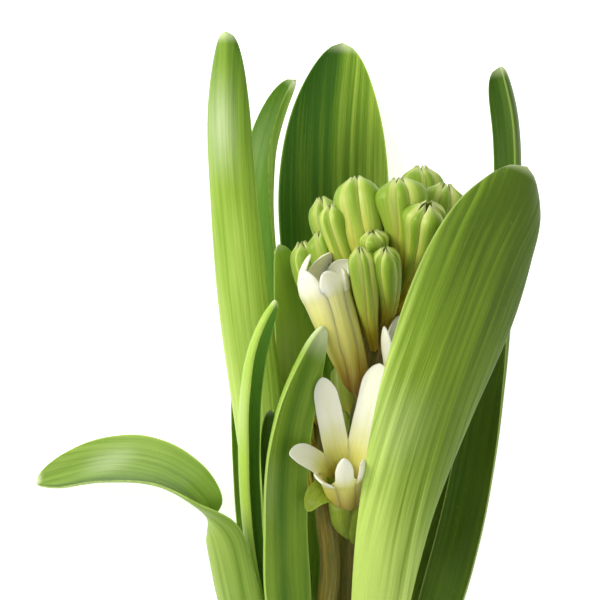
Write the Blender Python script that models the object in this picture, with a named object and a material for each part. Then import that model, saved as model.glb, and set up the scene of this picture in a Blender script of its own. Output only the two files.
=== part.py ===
"""A cut hyacinth with its leaves, lying on its back leaves.

Two shoots rise from one neck: the main one carries the raceme of white florets, the side one a young
raceme that its own leaves still hold. Lengths below are in millimetres from the cut end of the main
scape: +X to the flower's right, +Y along the plant, +Z up from the surface it lies on.
"""

import math

import bmesh
import bpy
import numpy as np

MM = 0.001

# Driving dimensions, in millimetres and degrees.
NECK_Z = 7.0  # height of the neck's centre line over the surface
SHOOT_A = (4.5, NECK_Z)  # x and z of the main shoot's centre at the cut
SHOOT_B = (-5.2, NECK_Z)  # x and z of the side shoot's centre at the cut
NECK_STRAIGHT = 11.0  # the leaf bases run straight for this far above the cut
LEAF_THICKNESS = 1.3
MARGIN_SHARE = 0.35  # a blade's thickness at its margin, as a share of the middle
LEAF_STATIONS = 18
STATION_BIAS = 1.4  # the stations stand closer together towards the tip, which is the round part
TIP_SHARE = 0.07  # width of the blunt tip, as a share of the blade's
LEAF_COLUMNS = 5
BUD_SIDES = 8
GAP = 0.36  # free space kept between neighbouring buds

# Leaves. The base is (shoot, ring radius, azimuth round the shoot, width there); azimuth 0 is +X and
# 90 is +Z. Each station is x, y, z, width, curl (half the angle that the cross-section's arc spans)
# and the direction that the blade's inner face looks in.
LEAVES = {
    "leaf_back_broad": {
        "base": (SHOOT_A, 4.3, 258, 6.2),
        "tip_length": 40,
        "stations": [
            (3.4, 30, 3.4, 9.5, 38, (0.1, 0, 1)),
            (2.4, 50, 3.0, 13, 33, (0, 0, 1)),
            (1.4, 78, 2.4, 18, 30, (0, 0, 1)),
            (0.2, 100, 2.0, 22, 28, (0, 0, 1)),
            (-1.6, 123, 1.8, 25, 27, (0, 0, 1)),
            (-2.3, 142, 1.8, 26.5, 28, (0, 0, 1)),
            (-1.8, 160, 2.2, 26, 32, (0, 0, 1)),
            (-0.3, 177.5, 4.6, 24, 44, (0, -0.3, 1)),
        ],
    },
    "leaf_tall_left": {
        "base": (SHOOT_B, 3.9, 226, 5.4),
        "tip_length": 26,
        "stations": [
            (-12.8, 30, 10.2, 8.5, 42, (0.95, 0, 0.1)),
            (-16.0, 52, 19.5, 11, 40, (0.9, 0, -0.35)),
            (-18.6, 74, 24.0, 13, 38, (0.7, 0, -0.7)),
            (-20.6, 97, 26.5, 14, 38, (0.5, 0, -0.85)),
            (-23.3, 119, 27.5, 13.5, 38, (0.42, 0, -0.9)),
            (-25.4, 141, 27.5, 12, 40, (0.4, 0, -0.9)),
            (-26.5, 160.5, 28.0, 11.5, 46, (0.4, 0, -0.9)),
            (-26.3, 178, 29.5, 10, 56, (0.4, 0, -0.9)),
        ],
    },
    "leaf_folded_left": {
        "base": (SHOOT_B, 5.6, 235, 7.2),
        "tip_length": 22,
        "stations": [
            (-13.5, 30, 5.2, 9, 36, (0.6, 0, 0.8)),
            (-17.8, 52, 9.0, 11, 38, (0.35, 0, 0.9)),
            (-19.4, 85, 11.0, 13, 42, (0, 0, 1)),
            (-19.0, 119, 11.0, 12.5, 52, (-0.35, 0, 0.9)),
            (-18.4, 145, 12.5, 11.5, 62, (-0.7, 0, 0.7)),
            (-16.8, 155, 14.5, 10.5, 68, (-0.85, 0.1, 0.6)),
            (-14.2, 162.5, 17.0, 10, 72, (-0.85, 0.2, 0.55)),
            (-11.4, 168, 19.5, 9.5, 76, (-0.85, 0.3, 0.5)),
        ],
    },
    "leaf_inner_left": {
        "base": (SHOOT_A, 4.3, 165, 6.2),
        "tip_length": 20,
        "stations": [
            (-2.4, 30, 9.0, 7, 34, (0.6, 0, 0.8)),
            (-7.4, 51, 14.5, 9.5, 30, (0.4, 0, 0.9)),
            (-9.3, 74, 16.5, 10.5, 28, (0.35, 0, 0.92)),
            (-10.6, 96, 17.5, 11.5, 28, (0.35, 0, 0.92)),
            (-11.2, 112, 18.5, 11, 30, (0.4, 0, 0.9)),
            (-12.6, 123, 19.8, 10, 34, (0.4, 0, 0.9)),
            (-14.6, 131, 21.8, 9, 44, (0.4, -0.1, 0.9)),
        ],
    },
    "leaf_right_back": {
        "base": (SHOOT_A, 6.0, 22, 6.4),
        "tip_length": 12,
        "stations": [
            (15.4, 30, 13.0, 9, 34, (-0.9, 0, 0.25)),
            (22.0, 50, 16.5, 12, 30, (-0.65, 0, 0.76)),
            (26.4, 66, 17.0, 12, 30, (-0.6, 0, 0.8)),
            (29.8, 82, 17.0, 11.5, 34, (-0.6, 0, 0.8)),
            (33.2, 102, 17.0, 11, 42, (-0.7, 0, 0.7)),
            (36.4, 126, 17.0, 10.5, 52, (-0.85, 0, 0.5)),
            (37.8, 147, 17.0, 10.5, 54, (-0.9, 0, 0.45)),
            (37.0, 160, 17.5, 10, 54, (-0.88, 0, 0.47)),
            (34.8, 171, 18.5, 10, 54, (-0.88, -0.2, 0.47)),
        ],
    },
    "leaf_right_front": {
        "base": (SHOOT_A, 4.3, 76, 6.2),
        "tip_length": 40,
        "stations": [
            (6.0, 30, 22.0, 9.5, 38, (-0.2, 0, -1)),
            (8.2, 52, 35.0, 14.3, 34, (-0.25, 0, -1)),
            (12.0, 75, 45.5, 18.5, 32, (-0.28, 0, -1)),
            (18.2, 97, 51.5, 23.5, 30, (-0.3, 0.1, -1)),
            (25.0, 116, 54.0, 26, 28, (-0.3, 0.1, -1)),
            (31.0, 131, 53.5, 25.5, 28, (-0.3, 0.1, -1)),
            (35.5, 140, 52.0, 24, 30, (-0.3, 0.1, -1)),
            (38.4, 147.2, 49.5, 21, 38, (-0.3, 0.2, -1)),
        ],
    },
    "leaf_bent_left": {
        "base": (SHOOT_B, 5.6, 146, 7.2),
        "tip_length": 30,
        "stations": [
            (-17.2, 30, 22.0, 8.5, 30, (0.7, 0, -0.7)),
            (-24.0, 53.5, 34.5, 12, 26, (0.5, 0, -0.85)),
            (-25.7, 62, 38.0, 11, 26, (0.45, 0.25, -0.8)),
            (-27.2, 68, 40.0, 10.5, 26, (0.35, 0.7, -0.5)),
            (-29.8, 73, 40.0, 11, 26, (0.25, 0.95, 0)),
            (-34.0, 77.5, 36.5, 13, 26, (0.2, 0.85, 0.45)),
            (-39.5, 80.5, 30.5, 14.5, 26, (0.1, 0.7, 0.7)),
            (-47.5, 82.0, 21.5, 15.5, 28, (0, 0.6, 0.8)),
            (-55.5, 81.2, 12.4, 15.5, 32, (0, 0.6, 0.8)),
            (-63.6, 79.0, 5.2, 14.5, 38, (0, 0.6, 0.8)),
            (-70.6, 77.0, 1.2, 12, 46, (0, 0.6, 0.8)),
        ],
    },
    "leaf_small_left": {
        "base": (SHOOT_B, 3.9, 137, 5.2),
        "tip_length": 24,
        "stations": [
            (-13.6, 30, 20.2, 6.6, 45, (0.9, 0, -0.2)),
            (-18.6, 52, 29.0, 8, 50, (0.97, 0, 0.1)),
            (-21.2, 70, 33.0, 8.8, 54, (0.95, 0, 0.25)),
            (-22.0, 88, 36.0, 9, 58, (0.92, 0, 0.3)),
            (-21.6, 99, 37.5, 9, 62, (0.9, 0, 0.35)),
            (-20.0, 108, 38.8, 8.5, 66, (0.9, -0.1, 0.4)),
            (-17.4, 114.5, 39.8, 8, 70, (0.85, -0.2, 0.4)),
            (-15.0, 118.5, 40.5, 7, 74, (0.85, -0.3, 0.4)),
        ],
    },
    "leaf_front_channel": {
        "base": (SHOOT_B, 2.3, 80, 4.6),
        "tip_length": 24,
        "stations": [
            (-9.2, 30, 22.8, 8, 44, (0.8, 0, 0.2)),
            (-13.4, 52, 32.5, 13, 38, (0.6, 0, 0.8)),
            (-14.2, 70, 38.5, 12.5, 40, (0.6, 0, 0.8)),
            (-13.6, 86, 42.0, 12, 46, (0.6, 0, 0.8)),
            (-11.8, 96, 43.5, 11.5, 52, (0.65, 0, 0.75)),
            (-9.0, 104.5, 44.0, 11, 60, (0.7, -0.1, 0.7)),
            (-6.6, 109.8, 43.8, 10.5, 66, (0.7, -0.2, 0.7)),
            (-4.6, 113, 43.2, 10, 70, (0.7, -0.3, 0.7)),
        ],
    },
    "leaf_young_left": {
        "base": (SHOOT_B, 2.3, 214, 3.0),
        "tip_length": 12,
        "stations": [
            (-8.3, 20, 10.4, 3.2, 34, (0.75, 0, 0.65)),
            (-10.2, 30, 17.8, 4, 30, (0.1, 0, 1)),
            (-12.8, 52, 27.0, 5.4, 28, (0, 0, 1)),
            (-15.0, 70, 31.4, 5.6, 28, (0, 0, 1)),
            (-15.9, 84, 33.4, 5.6, 32, (0, 0, 1)),
            (-16.6, 94.5, 34.4, 5, 40, (0, 0, 1)),
        ],
    },
    "leaf_right_low": {
        "base": (SHOOT_A, 4.3, 347, 6.2),
        "tip_length": 22,
        "stations": [
            (9.8, 30, 7.2, 8.5, 36, (-0.6, 0, 0.8)),
            (11.8, 50, 8.6, 11.5, 28, (-0.3, 0, 0.95)),
            (16.4, 60, 9.2, 13, 26, (-0.25, 0, 0.97)),
            (22.0, 69, 9.6, 13.5, 26, (-0.2, 0, 1)),
            (26.6, 79.5, 9.6, 13.5, 26, (-0.2, 0, 1)),
            (29.4, 91, 10.0, 12.5, 28, (-0.2, 0, 1)),
            (31.0, 101, 10.6, 11.5, 32, (-0.2, 0, 1)),
            (31.6, 109, 11.6, 10, 38, (-0.2, 0, 1)),
        ],
    },
    "leaf_right_under": {
        "base": (SHOOT_A, 6.0, 301, 7.2),
        "tip_length": 24,
        "stations": [
            (11.8, 30, 2.2, 8.5, 34, (-0.3, 0, 1)),
            (14.6, 50, 2.0, 9, 28, (-0.1, 0, 1)),
            (18.6, 68, 1.8, 10, 26, (0, 0, 1)),
            (23.6, 86, 1.7, 11, 26, (0, 0, 1)),
            (27.6, 103, 1.7, 11, 28, (0, 0, 1)),
            (29.6, 120, 2.2, 10, 36, (0, 0, 1)),
        ],
    },
}

# Scapes: x, y, z and radius along each flower stalk.
SCAPES = {
    "scape_main": [
        (4.5, 0, NECK_Z, 3.7),
        (4.5, 11, NECK_Z + 0.4, 3.7),
        (1.8, 30, 12.8, 3.5),
        (-0.2, 52, 19.0, 3.3),
        (0.2, 64, 22.2, 3.2),
        (1.9, 78, 25.4, 3.1),
        (4.6, 96, 28.2, 2.9),
        (7.8, 112, 30.0, 2.6),
        (10.4, 124, 31.0, 2.1),
    ],
    "scape_young": [
        (-5.2, 0, NECK_Z, 1.9),
        (-5.2, 11, NECK_Z + 0.4, 1.9),
        (-5.1, 20, 11.0, 1.9),
        (-4.9, 31, 17.8, 2.0),
        (-4.4, 48, 26.6, 2.2),
        (-3.4, 61, 30.0, 2.2),
        (-4.8, 74, 32.4, 2.0),
        (-5.6, 86, 33.6, 1.6),
        (-5.8, 98, 34.6, 1.1),
    ],
}

# Closed and half-closed florets: y on the scape, azimuth that the pedicel leaves at, tip, full radius.
BUDS_IN_FRONT = {
    "bud_crown_left": (120, 125, (2.3, 145.8, 34.5), 4.6),
    "bud_crown_middle": (123, 62, (11.6, 145.5, 38.5), 5.2),
    "bud_crown_back": (123, 320, (16.7, 148.6, 25.5), 4.6),
    "bud_crown_right": (121, 12, (22.0, 144.4, 33.5), 4.8),
    "bud_right_front": (117, 36, (17.6, 139.8, 45.5), 5.0),
    "bud_small_open": (116, 92, (5.6, 133.8, 41.5), 2.4),
    "bud_long_front": (107, 100, (2.8, 130.2, 46.4), 2.8),
    "bud_green_front": (112, 72, (8.2, 130.0, 47.6), 3.2),
    "bud_left_high": (117, 160, (-3.4, 139.8, 36.5), 2.4),
    "bud_left_middle": (111, 180, (-5.6, 134.0, 31.6), 2.8),
    "bud_left_low": (103, 196, (-9.8, 131.6, 30), 2.8),
    "bud_left_back": (115, 215, (-5.4, 141.6, 27), 3.0),
    "bud_left_under": (103, 225, (-10.4, 129.4, 22.5), 2.9),
    "bud_right_edge": (115, 350, (27.2, 140.0, 26), 3.8),
}

# Open florets. The tube runs root, bend, mouth; the tips go round the mouth anticlockwise as one looks
# into it. "tube" and "lobe" list places along them with the share of the radius or the width there.
TUBE = [(0, 0.26), (0.16, 0.30), (0.34, 0.66), (0.62, 0.84), (1, 1.0)]
LOBE_ROOM = 0.38  # how much of the way to the next lobe's middle a lobe may take
LOBE = [(0.22, 0.94), (0.48, 1.0), (0.74, 0.9), (0.93, 0.58), (1, 0.26)]
OPEN_FLORETS = {
    "floret_open": {
        "root": (0.2, 70.4, 28.6),
        "bend": (0.2, 74.4, 37.0),
        "mouth": (-0.9, 81.0, 42.8),
        "radius": 4.2,
        "wall": 0.7,
        "flare": 0.5,
        "lobe_width": 6.0,
        "tube": TUBE,
        "lobe": LOBE,
        "tips": [
            (-5.2, 102.0, 43.4),
            (-12.2, 85.6, 48.0),
            (-5.0, 79.6, 51.4),
            (-0.6, 85.0, 53.4),
            (2.8, 83.4, 50.0),
            (7.2, 105.0, 42.0),
        ],
    },
    "floret_half_open": {
        "root": (0.6, 97.4, 32.2),
        "bend": (-2.6, 102.0, 37.6),
        "mouth": (-4.4, 119.4, 39.4),
        "radius": 4.4,
        "wall": 0.8,
        "flare": 0.2,
        "lobe_width": 5.0,
        "tube": [(0, 0.24), (0.12, 0.28), (0.3, 0.66), (0.62, 0.86), (1, 1.0)],
        "lobe": LOBE,
        "tips": [
            (-8.7, 124.6, 43.0),
            (-5.2, 124.0, 46.4),
            (-1.4, 124.0, 44.6),
            (0.8, 127.2, 39.6),
            (-3.2, 129.0, 35.8),
            (-7.4, 128.2, 38.2),
        ],
    },
    "floret_right": {
        "root": (8.0, 92.6, 32.0),
        "bend": (11.0, 95.0, 36.4),
        "mouth": (12.6, 103.6, 38.2),
        "radius": 3.6,
        "wall": 0.8,
        "flare": 0.35,
        "lobe_width": 5.4,
        "tube": TUBE,
        "lobe": LOBE,
        "tips": [
            (8.4, 113.0, 42.4),
            (12.4, 111.0, 43.6),
            (17.2, 110.0, 42.0),
            (18.8, 111.5, 37.0),
            (15.6, 114.5, 33.4),
            (11.8, 115.2, 35.6),
        ],
    },
}

# The florets behind the scape and behind the right-hand leaf stand in columns, one above another.
BACK_COLUMNS = [(262, 0.0, 4), (304, 4.5, 4), (345, 1.5, 3)]  # azimuth, y offset, how many
BACK_FIRST_Y = 74.0
BACK_PITCH = 12.6
BACK_REACH = 12.6  # how far the tips stand out from the scape's axis
BACK_RISE = 18.5  # and how far above the pedicel
BACK_RADIUS = 3.9

# The young raceme: closed green buds in two ranks on the side scape.
YOUNG_BUDS = [
    # y on the scape, azimuth, length, full radius
    (75, 200, 11.5, 1.7),
    (78, 240, 11.0, 1.6),
    (83, 10, 12.0, 1.8),
    (86, 150, 11.5, 1.7),
    (91, 112, 9.5, 1.7),
    (93, 250, 11.5, 1.7),
]


def smooth_rows(rows, count, bias=1.0):
    """Rows on a smooth curve through the given ones, every column carried along; a bias over 1 packs
    them closer towards the end."""
    rows = np.array(rows, float)
    knots = np.concatenate([[0], np.cumsum(np.linalg.norm(np.diff(rows[:, :3], axis=0), axis=1))])
    slopes = np.gradient(rows, knots, axis=0)
    places = knots[-1] * (1 - np.linspace(1, 0, count) ** bias)
    cell = np.clip(np.searchsorted(knots, places, side="right") - 1, 0, len(knots) - 2)
    span = (knots[cell + 1] - knots[cell])[:, None]
    u = (places[:, None] - knots[cell][:, None]) / span
    return (
        (2 * u**3 - 3 * u**2 + 1) * rows[cell]
        + (u**3 - 2 * u**2 + u) * span * slopes[cell]
        + (3 * u**2 - 2 * u**3) * rows[cell + 1]
        + (u**3 - u**2) * span * slopes[cell + 1]
    )


def unit(vectors):
    return vectors / np.linalg.norm(vectors, axis=-1, keepdims=True)


def tangents(points):
    return unit(np.gradient(points, axis=0))


def add_solid(name, points, faces, material):
    """One named object from points in millimetres, its faces turned outwards."""
    mesh = bpy.data.meshes.new(name)
    mesh.from_pydata([tuple(p * MM) for p in points], [], faces)
    work = bmesh.new()
    work.from_mesh(mesh)
    bmesh.ops.recalc_face_normals(work, faces=work.faces)
    if work.calc_volume(signed=True) < 0:
        bmesh.ops.reverse_faces(work, faces=work.faces)
    work.to_mesh(mesh)
    work.free()
    mesh.shade_smooth()
    mesh.materials.append(material)
    solid = bpy.data.objects.new(name, mesh)
    bpy.context.scene.collection.objects.link(solid)
    return solid


def loft(rings):
    """Points and faces of a tube through closed rings, with no caps."""
    count, around = len(rings), len(rings[0])
    faces = [
        (i * around + j, i * around + (j + 1) % around, (i + 1) * around + (j + 1) % around, (i + 1) * around + j)
        for i in range(count - 1)
        for j in range(around)
    ]
    return np.concatenate(rings), faces


def principled(name, colour, roughness):
    material = bpy.data.materials.new(name)
    material.use_nodes = True
    shader = material.node_tree.nodes["Principled BSDF"]
    shader.inputs["Base Color"].default_value = (*colour, 1)
    shader.inputs["Roughness"].default_value = roughness
    shader.inputs["Metallic"].default_value = 0
    return material


# Leaves


def leaf_rows(leaf):
    """The leaf's stations with the nested base put in front."""
    (x, z), ring, azimuth, width = leaf["base"]
    out = (math.cos(math.radians(azimuth)), math.sin(math.radians(azimuth)))
    curl = math.degrees(width / 2 / ring)
    rows = [
        (x + ring * out[0], y, z + ring * out[1] + y * 0.03, width, curl, -out[0], 0, -out[1])
        for y in (0, NECK_STRAIGHT)
    ]
    return rows + [(*row[:5], *row[5]) for row in leaf["stations"]]


def blade(leaf, stations=LEAF_STATIONS, columns=LEAF_COLUMNS):
    """Rings round a channelled strap: along the inner face one way and back along the outer one."""
    rows = smooth_rows(leaf_rows(leaf), stations, STATION_BIAS)
    spine, width, curl, facing = rows[:, :3], rows[:, 3], np.radians(rows[:, 4]), rows[:, 5:8]
    along = tangents(spine)
    along[0] = (0, 1, 0)
    inner_way = unit(facing - (facing * along).sum(1)[:, None] * along)
    side_way = np.cross(along, inner_way)
    length = np.concatenate([[0], np.cumsum(np.linalg.norm(np.diff(spine, axis=0), axis=1))])
    to_tip = np.clip((length[-1] - length) / leaf["tip_length"], 0, 1)
    closing = TIP_SHARE + (1 - TIP_SHARE) * np.sin(math.pi / 2 * to_tip**0.62)
    half = width / 2 * closing
    thickness = LEAF_THICKNESS * (0.55 + 0.45 * closing)
    across = np.linspace(-1, 1, columns + 1)
    rings = []
    for i in range(stations):
        angle = across * curl[i]
        radius = half[i] / curl[i]
        middle = spine[i] + inner_way[i] * radius
        outwards = np.outer(np.sin(angle), side_way[i]) - np.outer(np.cos(angle), inner_way[i])
        depth = thickness[i] * (1 - (1 - MARGIN_SHARE) * across**2)
        inner = middle + outwards * radius
        outer = middle + outwards * (radius + depth)[:, None]
        rings.append(np.concatenate([inner, outer[::-1]]))
    return rings


def make_leaf(name, leaf, material):
    rings = blade(leaf)
    points, faces = loft(rings)
    around = len(rings[0])
    for first in (0, (len(rings) - 1) * around):
        faces += [
            (first + j, first + j + 1, first + around - 2 - j, first + around - 1 - j)
            for j in range(around // 2 - 1)
        ]
    return add_solid(name, points, faces, material)


# Stalks and closed florets


def tube_rings(centres, radii, sides):
    """Rings square to a smooth centre line, turned as little as possible from one to the next."""
    along = tangents(centres)
    side = unit(np.cross(along[0], (0.31, 0.12, 0.94)))
    rings = []
    for centre, radius, way in zip(centres, radii, along):
        side = unit(side - way * (side @ way))
        other = np.cross(way, side)
        turn = np.arange(sides) * 2 * math.pi / sides
        rings.append(centre + radius * (np.outer(np.cos(turn), side) + np.outer(np.sin(turn), other)))
    return rings


def closed_tube(name, centres, radii, sides, material):
    rings = tube_rings(centres, radii, sides)
    points, faces = loft(rings)
    faces.append(tuple(range(sides)))
    faces.append(tuple(range(len(points) - sides, len(points))))
    return add_solid(name, points, faces, material)


def make_scape(name, material):
    rows = smooth_rows(SCAPES[name], 15)
    rows[0, 1] = 0
    rings_centres = rows[:, :3].copy()
    rings_centres[0] = SCAPES[name][0][:3]
    return closed_tube(name, rings_centres, rows[:, 3], 10, material)


def scape_place(name, y):
    """Centre and radius of a scape at a height y."""
    rows = smooth_rows(SCAPES[name], 200)
    return rows[np.argmin(abs(rows[:, 1] - y))]


BUD_STEPS = 9
# Share of the full radius along a bud, from the pedicel to the blunt tip.
BUD_PROFILE = [0.24, 0.25, 0.40, 0.55, 0.70, 0.88, 1.0, 0.86, 0.34]


def bud_axis(scape, y, azimuth, tip, pedicel_radius):
    """The bud's centre line: out from the scape, then bending up to its tip."""
    centre = scape_place(scape, y)
    angle = math.radians(azimuth)
    out = np.array([math.cos(angle), 0.25, math.sin(angle)])
    root = centre[:3] + out * (centre[3] + GAP + pedicel_radius * 0.8)
    tip = np.array(tip, float)
    reach = np.linalg.norm(tip - root)
    bend = root + unit(out) * reach * 0.28 + np.array([0, reach * 0.12, 0])
    t = np.linspace(0, 1, BUD_STEPS)[:, None]
    return (1 - t) ** 2 * root + 2 * t * (1 - t) * bend + t**2 * tip


def fine_axis(axis):
    """The same centre line in 33 steps."""
    steps = np.linspace(0, 1, len(axis))
    return np.array([np.interp(np.linspace(0, 1, 33), steps, column) for column in axis.T]).T


def press_together(buds):
    """Each bud swells to its own profile, or until it meets a neighbour halfway."""
    radii = {}
    for name, (axis, full) in buds.items():
        wanted = full * np.array(BUD_PROFILE)
        for other, (other_axis, other_full) in buds.items():
            if other == name:
                continue
            theirs = fine_axis(other_axis)
            share = full / (full + other_full)
            for i, centre in enumerate(axis):
                nearest = np.linalg.norm(theirs - centre, axis=1).min()
                wanted[i] = min(wanted[i], nearest * share - GAP / 2)
        radii[name] = np.maximum(wanted, 0.45)
    return radii


# Open florets


def floret_frame(way, reference):
    """Two directions square to the floret's own, the first one as near as can be to the reference."""
    first = unit(reference - way * (reference @ way))
    return first, np.cross(way, first)


def lobe_spine(mouth, way, u, v, radius, floret, k):
    """Places and directions along the middle of lobe k, from the mouth's rim to its tip."""
    tip = np.array(floret["tips"][k], float)
    radial = u * math.cos(math.radians(60 * k)) + v * math.sin(math.radians(60 * k))
    rim = mouth + radial * radius
    control = rim + unit(way + radial * floret["flare"]) * np.linalg.norm(tip - rim) * 0.5
    return [
        (
            (1 - t) ** 2 * rim + 2 * t * (1 - t) * control + t**2 * tip,
            unit(2 * (1 - t) * (control - rim) + 2 * t * (tip - control)),
            radial,
        )
        for t in [0] + [t for t, _ in floret["lobe"]]
    ]


def make_floret(name, floret, material):
    """A tube that opens into six lobes, as one closed shell: an outer skin, an inner one and the
    lobes' edges between them."""
    root, bend, mouth = (np.array(floret[key], float) for key in ("root", "bend", "mouth"))
    radius, wall = floret["radius"], floret["wall"]
    reference = np.array(floret["tips"][0], float) - mouth
    points, faces = [], []

    def add(point):
        points.append(np.array(point, float))
        return len(points) - 1

    def ring(t, r):
        centre = (1 - t) ** 2 * root + 2 * t * (1 - t) * bend + t**2 * mouth
        way = unit(2 * (1 - t) * (bend - root) + 2 * t * (mouth - bend))
        u, v = floret_frame(way, reference)
        turns = np.radians(np.arange(12) * 30)
        return [add(centre + r * (u * math.cos(turn) + v * math.sin(turn))) for turn in turns]

    outer = [ring(t, radius * share) for t, share in floret["tube"]]
    inner = [ring(t, radius * share - wall) for t, share in floret["tube"][2:]]
    for rings in (outer, inner):
        for low, high in zip(rings, rings[1:]):
            faces += [(low[j], low[(j + 1) % 12], high[(j + 1) % 12], high[j]) for j in range(12)]
        faces.append(tuple(rings[0]))
    way = unit(mouth - bend)
    u, v = floret_frame(way, reference)
    spines = [lobe_spine(mouth, way, u, v, radius, floret, k) for k in range(6)]
    for k, spine in enumerate(spines):
        sides = [2 * k - 1, 2 * k, (2 * k + 1) % 12]
        before = ([outer[-1][j] for j in sides], [inner[-1][j] for j in sides])
        radial = spine[0][2]
        for row, (t, share) in enumerate(floret["lobe"], 1):
            place, along, _ = spine[row]
            facing = way - radial
            facing = unit(facing - along * (facing @ along))
            side = np.cross(facing, along)
            # a lobe stays narrower than the room that its two neighbours leave
            room = [LOBE_ROOM * np.linalg.norm(spines[(k + n) % 6][row][0] - place) for n in (-1, 1)]
            left, right = (min(floret["lobe_width"] / 2 * share, r) for r in room)
            depth = wall * (1 - 0.4 * t)
            edges = [(-left, 0.28 * left), (0, 0), (right, 0.28 * right)]
            skin = [add(place + side * x + facing * h) for x, h in edges]
            lining = [add(place + side * x * 0.96 + facing * (h + depth)) for x, h in edges]
            for now, last in ((skin, before[0]), (lining, before[1])):
                faces.extend([(last[0], last[1], now[1], now[0]), (last[1], last[2], now[2], now[1])])
            for edge in (0, 2):
                faces.append((before[0][edge], before[1][edge], lining[edge], skin[edge]))
            before = (skin, lining)
        skin, lining = before
        faces += [(skin[0], skin[1], lining[1], lining[0]), (skin[1], skin[2], lining[2], lining[1])]
    return add_solid(name, points, faces, material)


# The plant


def clear_scene():
    for thing in list(bpy.data.objects):
        bpy.data.objects.remove(thing)


def direction(azimuth):
    return np.array([math.cos(math.radians(azimuth)), 0, math.sin(math.radians(azimuth))])


def main_buds():
    """Centre line and full radius of every closed floret on the main scape."""
    buds = {
        name: (bud_axis("scape_main", y, azimuth, tip, 1.0), full)
        for name, (y, azimuth, tip, full) in BUDS_IN_FRONT.items()
    }
    number = 0
    for azimuth, offset, count in BACK_COLUMNS:
        for row in range(count):
            number += 1
            y = BACK_FIRST_Y + offset + BACK_PITCH * row
            centre = scape_place("scape_main", y)[:3]
            tip = centre + direction(azimuth) * BACK_REACH + np.array([0, BACK_RISE, 0])
            buds[f"bud_back_{number:02d}"] = (bud_axis("scape_main", y, azimuth, tip, 1.0), BACK_RADIUS)
    return buds


def young_buds():
    buds = {}
    for number, (y, azimuth, length, full) in enumerate(YOUNG_BUDS, 1):
        centre = scape_place("scape_young", y)[:3]
        tip = centre + direction(azimuth) * (2.2 + full) + np.array([0, length, 0])
        buds[f"bud_young_{number:02d}"] = (bud_axis("scape_young", y, azimuth, tip, 0.6), full)
    return buds


def centre_on_origin(solids):
    """Puts the bottom centre of the whole plant's bounds at the origin."""
    corners = np.array([corner.co for solid in solids for corner in solid.data.vertices])
    low, high = corners.min(axis=0), corners.max(axis=0)
    plant = bpy.data.objects.new("plant", None)
    bpy.context.scene.collection.objects.link(plant)
    plant.location = (-(low[0] + high[0]) / 2, -(low[1] + high[1]) / 2, -low[2])
    for solid in solids:
        solid.parent = plant


clear_scene()
leaf_green = principled("leaf_green", (0.22, 0.38, 0.05), 0.42)
scape_green = principled("scape_green", (0.32, 0.36, 0.08), 0.45)
bud_green = principled("bud_green", (0.50, 0.62, 0.22), 0.50)
petal_white = principled("petal_white", (0.90, 0.89, 0.78), 0.50)

made = [make_leaf(name, leaf, leaf_green) for name, leaf in LEAVES.items()]
made += [make_scape(name, scape_green) for name in SCAPES]
buds = {**main_buds(), **young_buds()}
radii = press_together(buds)
made += [closed_tube(name, axis, radii[name], BUD_SIDES, bud_green) for name, (axis, _) in buds.items()]
made += [make_floret(name, floret, petal_white) for name, floret in OPEN_FLORETS.items()]
centre_on_origin(made)
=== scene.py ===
import math

import bmesh
import bpy
import numpy as np
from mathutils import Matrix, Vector


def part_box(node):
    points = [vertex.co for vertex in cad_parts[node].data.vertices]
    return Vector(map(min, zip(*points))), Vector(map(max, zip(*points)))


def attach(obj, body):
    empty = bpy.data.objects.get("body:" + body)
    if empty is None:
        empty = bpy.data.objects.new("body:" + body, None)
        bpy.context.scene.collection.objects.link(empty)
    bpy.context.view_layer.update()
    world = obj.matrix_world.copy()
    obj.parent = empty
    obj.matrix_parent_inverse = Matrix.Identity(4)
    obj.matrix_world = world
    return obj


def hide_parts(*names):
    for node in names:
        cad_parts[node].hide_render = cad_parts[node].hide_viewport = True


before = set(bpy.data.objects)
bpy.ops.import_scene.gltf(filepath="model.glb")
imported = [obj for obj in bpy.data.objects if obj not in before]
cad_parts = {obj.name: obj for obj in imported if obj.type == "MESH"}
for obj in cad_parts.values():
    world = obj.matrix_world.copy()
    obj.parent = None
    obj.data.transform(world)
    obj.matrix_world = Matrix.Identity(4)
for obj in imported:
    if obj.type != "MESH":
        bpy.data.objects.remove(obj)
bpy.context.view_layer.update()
print("frame loaded,", len(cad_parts), "nodes")

mm = 0.001  # one millimetre, in metres
# Everything below is in millimetres from the cut end of the main stalk; toFrame puts it in the frame.
cutEnd = np.array(
    [
        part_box("leaf_bent_left")[0].x + 0.07072,
        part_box("scape_main")[0].y,
        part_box("scape_main")[0].z - 0.0033,
    ]
)


def toFrame(points):
    return np.asarray(points, float) * mm + cutEnd


def unit(vectors):
    return vectors / np.linalg.norm(vectors, axis=-1, keepdims=True)


def lengthAlong(points):
    return np.concatenate([[0], np.cumsum(np.linalg.norm(np.diff(points, axis=0), axis=1))])


def curveAt(t, start, middle, end):
    # a point on the bow that starts towards the middle point and ends coming from it
    return (1 - t) ** 2 * start + 2 * t * (1 - t) * middle + t**2 * end


def smoothRows(rows, count):
    # a smooth curve through the rows, by Hermite pieces; every column is carried along
    rows = np.array(rows, float)
    knots = lengthAlong(rows[:, :3])
    slopes = np.gradient(rows, knots, axis=0)
    places = knots[-1] * (1 - np.linspace(1, 0, count))
    cell = np.clip(np.searchsorted(knots, places, side="right") - 1, 0, len(knots) - 2)
    span = (knots[cell + 1] - knots[cell])[:, None]
    u = (places[:, None] - knots[cell][:, None]) / span
    return (
        (2 * u**3 - 3 * u**2 + 1) * rows[cell]
        + (u**3 - 2 * u**2 + u) * span * slopes[cell]
        + (3 * u**2 - 2 * u**3) * rows[cell + 1]
        + (u**3 - u**2) * span * slopes[cell + 1]
    )


def linked(name, data):
    made = bpy.data.objects.new(name, data)
    bpy.context.scene.collection.objects.link(made)
    return made


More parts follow.
